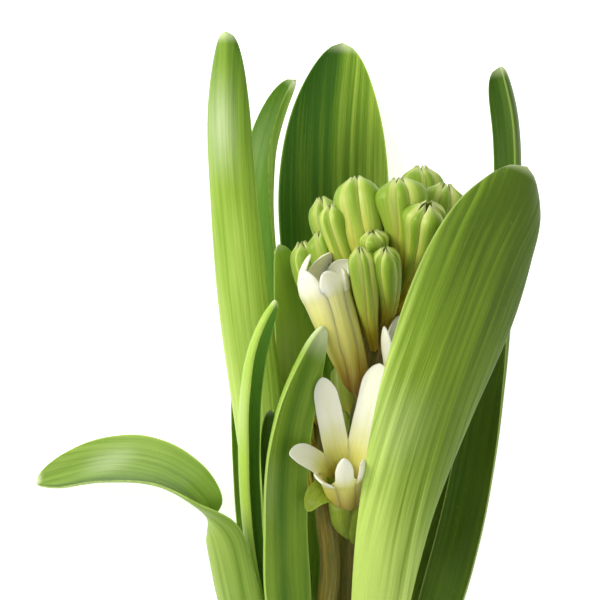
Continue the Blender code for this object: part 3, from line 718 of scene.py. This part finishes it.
def stalkFinish():
    material, graph, shader = newFinish("stalkSkin")
    turn, along, cut = readFloats(graph, "stalkTurn", "stalkAlong", "stalkCut")
    around = graph.combine(turn.cos() * 3.0, turn.sin() * 3.0, along * 5.0)
    streak = graph.remap(graph.noise(around, 2.2, 4.0, 0.65), 0.36, 0.66)
    place = graph.out(graph.node("ShaderNodeTexCoord"), "Object")
    vessels = graph.remap(graph.noise(place, 1600.0, 1.0), 0.56, 0.64)
    flesh = coated(graph, (0.66, 0.70, 0.42), (vessels, (0.40, 0.48, 0.16)))
    looks = {
        "Base Color": coated(
            graph,
            tone(96, 100, 18),
            (streak, tone(146, 124, 26)),
            (graph.remap(along, 0.18, 0.0), (0.62, 0.64, 0.36)),
            (graph.remap(cut, 0.0, 0.12), flesh),
        ),
        "Roughness": 0.42,
        "Subsurface Weight": 0.3,
        "Subsurface Radius": (0.8, 1.0, 0.25),
        "Subsurface Scale": 0.0025,
    }
    dressed(graph, shader, looks, streak, 0.00015, 0.7)
    return material


stalkTree = buildStalkTree()
stalkSkin = stalkFinish()
for nodeName, stations in scapeShapes.items():
    rows = smoothRows(stations, stalkSizes["stations"])
    line = lineObject(nodeName, rows[:, :3], {"radius": rows[:, 3] * mm}, np.tile((0.0, 0.0, 1.0), (len(rows), 1)))
    piece = grown(nodeName + "_stalk", line, stalkTree, {"Seed": float(len(nodeName)), "Finish": stalkSkin})
    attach(piece, "root")
    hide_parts(nodeName)
print("stalks grown")


# Closed florets

budSizes = {
    "rows": 46,
    "around": 25,
    "stations": 41,
    "wall": 0.95,
    "youngWall": 0.55,  # a share of the wall
    "bulge": 0.30,
    "lobesFrom": 0.86,  # the share of the length at which the lobes start to narrow
    "outerExtra": 16.0,
    "pedicel": 1.0,
    "youngPedicel": 0.6,
    "gap": 0.36,
    "sunk": 1.6,  # how deep the foot of a pedicel sits in the stalk
    "press": 1.22,  # how far neighbouring buds may squeeze into each other
    "backFirst": 74.0,
    "backPitch": 12.6,
    "backReach": 12.6,
    "backRise": 18.5,
    "backRadius": 4.2,
}

# y on the stalk, azimuth of the pedicel, tip, full radius, how open the tips are, how green
budShapes = {
    "bud_crown_left": (120, 125, (2.3, 145.8, 34.5), 4.7, 0.0, 0.66),
    "bud_crown_middle": (123, 62, (11.6, 145.5, 38.5), 5.3, 0.0, 0.62),
    "bud_crown_back": (123, 320, (16.7, 148.6, 25.5), 4.6, 0.0, 0.80),
    "bud_crown_right": (121, 12, (22.0, 144.4, 33.5), 4.8, 0.0, 0.85),
    "bud_right_front": (117, 36, (17.6, 139.8, 45.5), 5.0, 0.0, 0.78),
    "bud_small_open": (116, 92, (5.6, 133.8, 41.5), 2.6, 0.6, 0.30),
    "bud_long_front": (107, 100, (2.8, 130.2, 46.4), 2.45, 0.2, 0.35),
    "bud_green_front": (112, 72, (8.2, 130.0, 47.6), 2.7, 0.0, 0.8),
    "bud_left_high": (117, 160, (-3.4, 139.8, 36.5), 2.8, 0.2, 0.55),
    "bud_left_middle": (111, 180, (-5.6, 134.0, 31.6), 3.2, 0.25, 0.55),
    "bud_left_low": (103, 196, (-9.8, 131.6, 30), 3.0, 0.25, 0.70),
    "bud_left_back": (115, 215, (-5.4, 141.6, 27), 3.2, 0.1, 0.8),
    "bud_left_under": (103, 225, (-10.4, 129.4, 22.5), 3.1, 0.1, 0.8),
    "bud_right_edge": (115, 350, (27.2, 140.0, 26), 4.2, 0.05, 0.85),
}
# azimuth of a column behind the stalk, how much further up it starts, and how many florets it has
backColumns = [(262, 0.0, 4), (304, 4.5, 4), (345, 1.5, 3)]
# y on the stalk, azimuth, length and full radius
youngBuds = [
    (75, 200, 11.5, 1.9),
    (78, 240, 11.0, 1.8),
    (83, 10, 12.0, 2.0),
    (86, 150, 11.5, 1.9),
    (91, 112, 9.5, 1.9),
    (93, 250, 11.5, 1.9),
]
# share of the full radius along a bud: the pedicel, the tube, the swollen throat and the shoulder
budProfile = [
    (0, 0.24), (0.12, 0.25), (0.22, 0.42), (0.42, 0.60), (0.6, 0.84),
    (0.74, 1.0), (0.86, 1.05), (0.93, 0.94), (0.975, 0.70), (1, 0.22),
]
# degrees by which a bud in front is turned on its own path
frontTurns = {
    "bud_crown_middle": 60,
    "bud_crown_left": 38,
    "bud_right_front": 20,
    "bud_crown_right": 70,
    "bud_green_front": 5,
    "bud_long_front": -35,
}


def outAt(azimuth):
    return np.array([math.cos(math.radians(azimuth)), 0, math.sin(math.radians(azimuth))])


def budAxis(scape, y, azimuth, tip, pedicel):
    centre = scapePlace(scape, y)
    out = outAt(azimuth) + np.array([0, 0.25, 0])
    root = centre[:3] + out * (centre[3] + budSizes["gap"] + pedicel * 0.8 - budSizes["sunk"])
    tip = np.array(tip, float)
    reach = np.linalg.norm(tip - root)
    bend = root + unit(out) * reach * 0.28 + np.array([0, reach * 0.12, 0])
    return curveAt(np.linspace(0, 1, budSizes["stations"])[:, None], root, bend, tip)


def allBuds():
    # for each bud its path, full radius, how open its tips are and how green it is
    buds = {}
    for name, (y, azimuth, tip, full, opening, green) in budShapes.items():
        buds[name] = (budAxis("scape_main", y, azimuth, tip, budSizes["pedicel"]), full, opening, green)
    number = 0
    for azimuth, offset, count in backColumns:
        for row in range(count):
            number += 1
            y = budSizes["backFirst"] + offset + budSizes["backPitch"] * row
            tip = scapePlace("scape_main", y)[:3] + outAt(azimuth) * budSizes["backReach"]
            tip = tip + np.array([0, budSizes["backRise"], 0])
            axis = budAxis("scape_main", y, azimuth, tip, budSizes["pedicel"])
            buds[f"bud_back_{number:02d}"] = (axis, budSizes["backRadius"], 0.1, 0.35 + 0.15 * row)
    for number, (y, azimuth, length, full) in enumerate(youngBuds, 1):
        tip = scapePlace("scape_young", y)[:3] + outAt(azimuth) * (2.0 + full) + np.array([0, length, 0])
        axis = budAxis("scape_young", y, azimuth, tip, budSizes["youngPedicel"])
        buds[f"bud_young_{number:02d}"] = (axis, full, 0.1, 0.6)
    return buds


def pressedRadii(buds):
    # every bud swells to its own profile, or until its neighbours stop it
    places = np.linspace(0, 1, budSizes["stations"])
    shares = np.interp(places, *zip(*budProfile))
    kernel = np.array([1, 2, 3, 4, 3, 2, 1]) / 16
    radii = {}
    for name, (axis, full, opening, _) in buds.items():
        wanted = full * shares
        for other, (otherAxis, otherFull, *_) in buds.items():
            if other != name:
                nearest = np.linalg.norm(otherAxis[None, :] - axis[:, None], axis=2).min(axis=1)
                allowed = nearest * full / (full + otherFull) * budSizes["press"]
                wanted = np.minimum(wanted, np.maximum(allowed, full * budProfile[0][1]))
        padded = np.concatenate([[wanted[0]] * 3, wanted, [wanted[-1]] * 3])
        flare = np.clip((places - 0.78) / 0.22, 0, 1) ** 1.5
        radii[name] = np.convolve(padded, kernel, mode="valid") * (1 + flare * opening * 1.1)
    return radii


def buildBudTree():
    # six tepals, three outside three, set round the path as copies of one flat grid and then wrapped
    sizes = {"Rows": budSizes["rows"], "Around": budSizes["around"], "Wall": budSizes["wall"] * mm}
    sizes.update({"Bulge": budSizes["bulge"], "Lobes From": budSizes["lobesFrom"]})
    sizes["Outer Extra"] = math.radians(budSizes["outerExtra"])
    graph, given, curve = newGeometryTree("closedFloret", sizes)
    grid, x, y = flatGrid(graph, given["Around"], given["Rows"])
    flat = storedOn(graph, grid, {"tepalRound": (x + 0.5) * (2 * math.pi), "tepalAlong": y + 0.5})
    six = graph.out(graph.node("GeometryNodeMeshLine", {"Count": 6, "Offset": (0, 0, 0)}))
    numbered = storedOn(graph, six, {"tepalIndex": graph.out(graph.node("GeometryNodeInputIndex"))})
    copies = graph.node("GeometryNodeInstanceOnPoints", {"Points": numbered, "Instance": flat})
    real = graph.out(graph.node("GeometryNodeRealizeInstances", {"Geometry": graph.out(copies)}))
    turn, along, index = (
        graph.out(graph.node("GeometryNodeInputNamedAttribute", {"Name": key}, data_type="FLOAT"))
        for key in ("tepalRound", "tepalAlong", "tepalIndex")
    )
    isInner = graph.math("MODULO", index, 2.0)
    across = turn.cos()
    spinePoint, first, second = frameAt(graph, curve, along)
    radius = graph.out(sampledOn(graph, curve, along, "radius"), "Value")
    chance = (graph.noise(graph.combine(index, given["Seed"], 0.0), 1.7, 0.0, 0.5) - 0.5) * 2.0
    # each tepal runs into a blunt tip
    toTip = graph.remap(along, 1.0, given["Lobes From"], shape="LINEAR")
    tipShape = (toTip * (math.pi / 2)).sin() ** 0.6
    toRoot = graph.math("SQRT", graph.remap(along, 0.0, 0.03, shape="LINEAR"))
    outerMore = (1.0 - isInner) * (graph.remap(along, 0.3, 0.6) * given["Outer Extra"])
    span = (math.radians(35.0) + outerMore) * tipShape
    angle = index * (math.pi / 3) + across * span + chance * 0.10
    # it bulges along its middle, with a keel, and the outer three stand proud of the inner three
    square = across * across
    fromTube = graph.remap(along, 0.25, 0.7)
    sink = square * given["Bulge"] * (0.3 + fromTube * 0.7)
    keel = (1.0 - square) ** 6.0 * (fromTube * 0.05)
    share = 1.0 - sink + keel + (0.5 - isInner) * 0.15 * fromTube
    share = share + chance * 0.12 * graph.remap(along, 0.7, 1.0)
    wall = given["Wall"] * tipShape * turn.sin()
    # the tips bow in over the middle like a hood
    reach = (radius * share + wall * 0.5) * graph.remap(along, 0.92, 1.0, 1.0, 0.58)
    reach = graph.math("MAXIMUM", reach, 0.06 * mm) * toRoot
    laid = laidOn(graph, real, ringPoint(spinePoint, first, second, angle, reach))
    return closeTree(graph, given, storedOn(graph, laid, {"tepalAcross": across}))


def budFinish(name, green):
    material, graph, shader = newFinish(name)
    across, along, index = readFloats(graph, "tepalAcross", "tepalAlong", "tepalIndex")
    lines = graph.noise(graph.combine(across * 6.0, along * 2.0, index * 3.7), 1.6, 3.0, 0.6)
    rib = graph.remap(abs(across) + (lines - 0.5) * 0.6, 0.95, 0.15)
    high = graph.remap(along, 0.35, 0.95)
    ribShare = graph.math("MULTIPLY", rib, 0.3 + green * 0.6 + high * 0.4, clamp=True)
    midrib = graph.remap(abs(across) + (lines - 0.5), 0.55, 0.0)
    looks = {
        "Base Color": coated(
            graph,
            tone(196, 194, 78),
            (high, tone(196, 208, 112)),
            (ribShare, tone(136, 166, 46)),
            (midrib * (high * (0.15 + green * 0.45)), tone(92, 126, 26)),
            (graph.remap(along + lines * 0.04, 0.95, 1.02) * 0.7, tone(204, 216, 138)),
            (graph.remap(along, 0.52, 0.10) * 0.9, tone(164, 138, 20)),
            (graph.remap(abs(across), 0.78, 1.0) * 0.55, tone(222, 228, 168)),
        ),
        "Roughness": 0.38,
        "Subsurface Weight": 0.3,
        "Subsurface Radius": (1.0, 1.0, 0.35),
        "Subsurface Scale": 0.0016,
        "Specular IOR Level": 0.3,
        "Specular Tint": (1.0, 1.0, 0.7, 1),
    }
    dressed(graph, shader, looks, lines, 0.00012, 0.6)
    return material


budTree = buildBudTree()
buds = allBuds()
radii = pressedRadii(buds)
budFinishes = {}
for number, (nodeName, (axis, full, opening, green)) in enumerate(buds.items()):
    step = round(green * 5)
    if step not in budFinishes:
        budFinishes[step] = budFinish(f"budSkin{step}", step / 5)
    turn = math.radians(frontTurns.get(nodeName, 47.0 * number))
    facing = np.tile((math.sin(turn), 0.1, math.cos(turn)), (len(axis), 1))
    line = lineObject(nodeName, axis, {"radius": radii[nodeName] * mm}, facing)
    wall = budSizes["wall"] * mm * (budSizes["youngWall"] if nodeName.startswith("bud_young") else 1.0)
    values = {"Seed": number * 1.37, "Finish": budFinishes[step], "Wall": wall}
    piece = grown(nodeName + "_tepals", line, budTree, values)
    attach(piece, "root")
    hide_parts(nodeName)
print("closed florets grown:", len(buds))


# Open florets

tepalSizes = {
    "rows": 70,
    "columns": 26,
    "ribs": 3.0,
    "ribHeight": 0.05,
    "waviness": 0.35,
    "sector": 42.0,
    "tubeStations": 40,
    "lobeStations": 60,
    "tipLength": 4.6,
}

# The tube runs root, bend, mouth; the tips go round the mouth anticlockwise as one looks into it.
floretShapes = {
    "floret_open": {
        "root": (0.2, 70.4, 28.6),
        "bend": (0.2, 74.4, 37.0),
        "mouth": (-0.9, 81.0, 42.8),
        "radius": 4.2,
        "flare": 0.5,
        "tube": [(0, 0.26), (0.16, 0.30), (0.34, 0.62), (0.62, 0.82), (1, 1.0)],
        "widths": [(0, 5.4), (0.3, 5.8), (0.6, 5.7), (0.85, 5.2), (1, 4.6)],
        "shares": (1.0, 1.0, 0.9, 0.72, 0.85, 1.3),
        "tips": [
            (-5.2, 102.0, 43.4), (-12.2, 85.6, 48.0), (-5.0, 79.6, 51.4), (-0.6, 85.0, 53.4), (2.8, 83.4, 50.0),
            (7.2, 105.0, 42.0),
        ],
        "tipCurl": 14,
        "warmth": 0.17,  # how far the yellow of the throat runs up into the lobes
    },
    "floret_half_open": {
        "root": (4.2, 96.8, 31.2),
        "bend": (1.6, 103.0, 38.2),
        "mouth": (-4.2, 119.4, 39.6),
        "radius": 4.7,
        "flare": 0.25,
        "tube": [(0, 0.22), (0.12, 0.28), (0.3, 0.54), (0.62, 0.76), (1, 1.0)],
        "widths": [(0, 5.6), (0.4, 6.0), (0.75, 5.2), (1, 4.6)],
        "tips": [
            (-8.9, 125.0, 43.6), (-5.2, 124.4, 47.0), (-0.6, 124.0, 45.0), (0.8, 127.2, 39.6),
            (-3.2, 129.0, 35.8), (-7.6, 128.6, 38.2),
        ],
        "tipCurl": 26,
        "warmth": 0.03,
    },
    "floret_right": {
        "root": (8.0, 92.6, 32.0),
        "bend": (11.0, 95.0, 36.4),
        "mouth": (12.6, 103.6, 38.2),
        "radius": 3.6,
        "flare": 0.35,
        "tube": [(0, 0.26), (0.16, 0.30), (0.34, 0.62), (0.62, 0.82), (1, 1.0)],
        "widths": [(0, 4.8), (0.3, 5.4), (0.6, 5.4), (0.85, 4.6), (1, 3.8)],
        "tips": [
            (8.4, 113.0, 42.4), (12.4, 111.0, 43.6), (17.2, 110.0, 42.0), (18.8, 111.5, 37.0),
            (15.6, 114.5, 33.4), (11.8, 115.2, 35.6),
        ],
        "tipCurl": 20,
        "warmth": -0.02,
    },
}


def tepalLine(name, shape, k):
    root, bend, mouth = (np.array(shape[key], float) for key in ("root", "bend", "mouth"))
    reference = np.array(shape["tips"][0], float) - mouth
    sector = math.radians(tepalSizes["sector"])
    turn = math.radians(60 * k)
    inset = 1 - 0.06 * (k % 2)  # the inner three

    def square(way):
        first = unit(reference - way * (reference @ way))
        return first * math.cos(turn) + np.cross(way, first) * math.sin(turn)

    points, facings, widths, curls, tints = [], [], [], [], []
    for t in np.linspace(0, 1, tepalSizes["tubeStations"]):
        way = unit(2 * (1 - t) * (bend - root) + 2 * t * (mouth - bend))
        radial = square(way)
        ring = np.interp(t, *zip(*shape["tube"])) * shape["radius"]
        points.append(curveAt(t, root, bend, mouth) + radial * ring * inset)
        facings.append(-radial)
        widths.append(ring * sector)
        curls.append(math.degrees(sector))
        tints.append(t)
    rim, rimWidth, tip = points[-1], widths[-1], np.array(shape["tips"][k], float)
    control = rim + unit(way + radial * shape["flare"]) * np.linalg.norm(tip - rim) * 0.5
    for t in np.linspace(0, 1, tepalSizes["lobeStations"] + 1)[1:]:
        tangent = unit(2 * (1 - t) * (control - rim) + 2 * t * (tip - control))
        points.append(curveAt(t, rim, control, tip))
        facings.append(unit(way * (tangent @ radial) - radial * (tangent @ way)))
        blend = min(1.0, t / 0.35)
        blend = blend * blend * (3 - 2 * blend)
        lobe = np.interp(t, *zip(*shape["widths"])) / 2 * shape.get("shares", (1,) * 6)[k]
        widths.append(rimWidth * (1 - blend) + lobe * blend)
        curls.append(math.degrees(sector) * (1 - blend) + shape["tipCurl"] * blend)
        tints.append(1 + t)
    points = np.array(points)
    length = lengthAlong(points)
    closing = np.sin(math.pi / 2 * np.clip((length[-1] - length) / tepalSizes["tipLength"], 0, 1) ** 0.6)
    floats = {
        "halfWidth": np.array(widths) * closing * mm,
        "curl": np.radians(curls),
        "thick": np.interp(tints, (0, 1, 2), (0.5, 0.85, 0.7)) * (0.4 + 0.6 * closing) * mm,
        "tint": np.array(tints) / 2 - shape["warmth"] * np.interp(tints, (0, 1, 2), (0, 1, 0)),
    }
    return lineObject(name, points, floats, np.array(facings))


def petalFinish():
    material, graph, shader = newFinish("petalSkin")
    across, tint = readFloats(graph, "bladeAcross", "bladeTint")
    lines = graph.noise(graph.combine(across * 5.0, tint * 3.0, 1.0), 1.8, 3.0, 0.6)
    uneven = graph.math("ADD", 0.7, lines * 0.4, clamp=True)
    keel = graph.remap(abs(across), 0.30, 0.0) * graph.remap(tint, 0.95, 0.45)
    looks = {
        "Base Color": coated(
            graph,
            tone(226, 226, 206),
            (graph.remap(tint, 0.72, 0.34), tone(212, 208, 112)),
            (graph.remap(tint, 0.48, 0.22) * uneven, tone(186, 176, 44)),
            (graph.remap(tint, 0.36, 0.10), tone(156, 108, 10)),
            (keel * 0.28, (0.55, 0.62, 0.18)),
            (graph.remap(lines, 0.58, 0.36) * 0.10, (0.72, 0.74, 0.50)),
        ),
        "Roughness": 0.42,
        "Subsurface Weight": 0.5,
        "Subsurface Radius": (1.0, 0.95, 0.6),
        "Subsurface Scale": 0.0018,
        "Specular Tint": (1.0, 1.0, 0.8, 1),
    }
    dressed(graph, shader, looks, lines, 0.0001, 0.6)
    return material


def joinedPieces(name, parts):
    # one mesh from several, with every part's finish kept
    made = bpy.data.meshes.new(name)
    work = bmesh.new()
    for part in parts:
        finish = part.data.materials[0]
        if finish.name not in made.materials:
            made.materials.append(finish)
        before = len(work.faces)
        work.from_mesh(part.data)
        work.faces.ensure_lookup_table()
        slot = made.materials.find(finish.name)
        for face in work.faces[before:]:
            face.material_index = slot
        bpy.data.objects.remove(part)
    work.to_mesh(made)
    work.free()
    return smoothed(name, made, 60)


# small sheathing bracts at the foot of the open floret, given as the leaves are
bractShapes = [
    {"tipLength": 5, "thin": 0.6, "stations": [
        (-1.8, 76.2, 37.6, 5.6, 50, 0.3, 0, 1), (-4.2, 77.4, 40.0, 6.2, 34, 0.2, 0.2, 1),
        (-6.6, 76.0, 41.2, 5.0, 24, 0.1, 0.3, 1), (-8.4, 72.8, 40.8, 3.2, 18, 0.0, 0.4, 1),
    ]},
    {"tipLength": 4, "thin": 0.6, "stations": [
        (0.6, 66.6, 33.4, 3.6, 50, 0, 0, -1), (-0.6, 70.2, 37.0, 5.6, 50, 0, 0.3, -1),
        (-1.4, 73.4, 39.6, 5.4, 44, 0, 0.5, -1), (-3.4, 75.6, 41.0, 3.4, 30, 0, 0.6, -1),
    ]},
    {"tipLength": 5, "thin": 0.6, "stations": [
        (1.8, 65.4, 32.4, 3.6, 50, -0.4, 0, -1), (2.6, 69.2, 35.6, 5.8, 48, -0.4, 0.3, -1),
        (3.4, 73.0, 38.0, 5.0, 40, -0.4, 0.4, -1), (4.4, 76.6, 39.4, 2.8, 26, -0.4, 0.5, -1),
    ]},
]
bractSizes = {"Rows": 50, "Columns": 24, "Ribs": 4.0}
bractLook = {
    "greens": [(150, 168, 56), (118, 138, 36), (96, 112, 22)],
    "lean": (0.1, 0.2), "start": 0.45, "veins": 0.3, "sheenPatch": (0.8, 0.0, 0.1),
    "outside": 0.1, "tip": 0.2, "base": 0.0, "seed": 14.2,
}

petalSkin = petalFinish()
for nodeName, shape in floretShapes.items():
    tepals = []
    for k in range(6):
        values = {
            "Rows": tepalSizes["rows"],
            "Columns": tepalSizes["columns"],
            "Ribs": tepalSizes["ribs"],
            "Rib Height": tepalSizes["ribHeight"] * mm,
            "Waviness": tepalSizes["waviness"] * mm,
            "Seed": 3.1 * k + len(nodeName),
            "Finish": petalSkin,
        }
        tepals.append(grown(f"{nodeName}_tepal_{k}", tepalLine(nodeName, shape, k), leafTree, values))
    if nodeName == "floret_open":
        bractSkin = leafFinish("bractSkin", bractLook)
        for number, bract in enumerate(bractShapes):
            values = {**bractSizes, "Seed": 20.0 + number, "Finish": bractSkin}
            tepals.append(grown(f"bract_{number}", leafSpine("bract", bract), leafTree, values))
    piece = joinedPieces(nodeName + "_bloom", tepals)
    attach(piece, "root")
    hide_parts(nodeName)
print("open florets grown:", len(floretShapes))


# Light, surface and camera

studio = {
    "floorTone": 0.93,
    "floorGlow": 0.55,
    "floorHalf": 3,  # metres
    "floorDrop": 0.0002,
    "world": 0.66,
    "key": ((-0.75, 0.35, 0.55), 0.45, 8.0, (1.0, 0.98, 0.93)),  # place, size, watts and colour
    "fill": ((0.5, -0.3, 0.9), 0.9, 2.2, (1, 1, 1)),
    "lightsAim": (0, 0, 0.02),
    "sensor": 36.0,
    "distance": 0.70,
    "planeHeight": 25.0,
    "aim": (-10.0, 118.7),
    "shownWidth": 133.33,
}

half = studio["floorHalf"]
floorMesh = bpy.data.meshes.new("floor")
floorMesh.from_pydata([(-half, -half, 0), (half, -half, 0), (half, half, 0), (-half, half, 0)], [], [(0, 1, 2, 3)])
floor = linked("floor", floorMesh)
floor.location.z = -studio["floorDrop"]
floorFinish, _, floorShader = newFinish("paleFloor")
floorShader.inputs["Base Color"].default_value = (studio["floorTone"],) * 3 + (1,)
floorShader.inputs["Roughness"].default_value = 0.9
floorShader.inputs["Emission Color"].default_value = (1, 1, 1, 1)
floorShader.inputs["Emission Strength"].default_value = studio["floorGlow"]
floorMesh.materials.append(floorFinish)

world = bpy.data.worlds.new("studio")
world.use_nodes = True
world.node_tree.nodes["Background"].inputs[0].default_value = (1, 1, 1, 1)
world.node_tree.nodes["Background"].inputs[1].default_value = studio["world"]
bpy.context.scene.world = world
for key in ("key", "fill"):
    place, size, watts, colour = studio[key]
    lamp = bpy.data.lights.new(key + "Light", "AREA")
    lamp.shape, lamp.size, lamp.energy, lamp.color = "SQUARE", size, watts, colour
    made = linked(key + "Light", lamp)
    made.location = place
    made.rotation_euler = (Vector(place) - Vector(studio["lightsAim"])).to_track_quat("Z", "Y").to_euler()

aim = toFrame((*studio["aim"], studio["planeHeight"]))
lens = bpy.data.cameras.new("camera")
lens.sensor_width = studio["sensor"]
lens.lens = studio["sensor"] * studio["distance"] * 1000 / studio["shownWidth"]
lens.clip_start = 0.01
camera = linked("camera", lens)
camera.location = (aim[0], aim[1], aim[2] + studio["distance"])
bpy.context.scene.camera = camera
bpy.context.scene.view_settings.view_transform = "Standard"
print("studio set")
